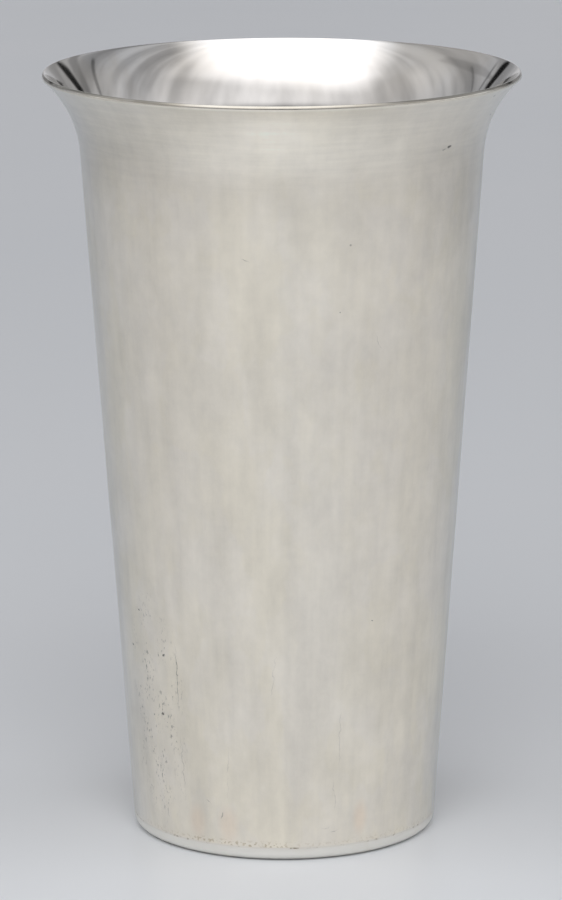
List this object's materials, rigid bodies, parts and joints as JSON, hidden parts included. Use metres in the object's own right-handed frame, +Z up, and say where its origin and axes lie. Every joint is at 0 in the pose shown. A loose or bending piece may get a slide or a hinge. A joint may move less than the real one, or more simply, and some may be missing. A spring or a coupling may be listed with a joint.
{
  "type": "tumbler",
  "caption": "Tall tapered metal tumbler with a flared lip and a rounded heel, silver-plated, open at the top, for holding a cold drink.",
  "frame": {"origin": "middle of the base, on the surface that the tumbler stands on", "axes": "+Z up along the tumbler's axis, towards the lip; the shape is round, so X and Y are free"},
  "size_m": [0.0868, 0.0868, 0.14],
  "materials": {
    "wall_plate": "silver plate, satin and lightly tarnished outside, bright inside",
    "base_plate": "silver plate, rubbed bright on the heel, with turning rings inside and underneath",
    "solder": "dull grey-brown solder"
  },
  "bodies": {
    "root": {"tumbler_wall": "wall_plate", "base_pan": "base_plate", "seam_solder": "solder"}
  },
  "joints": []
}
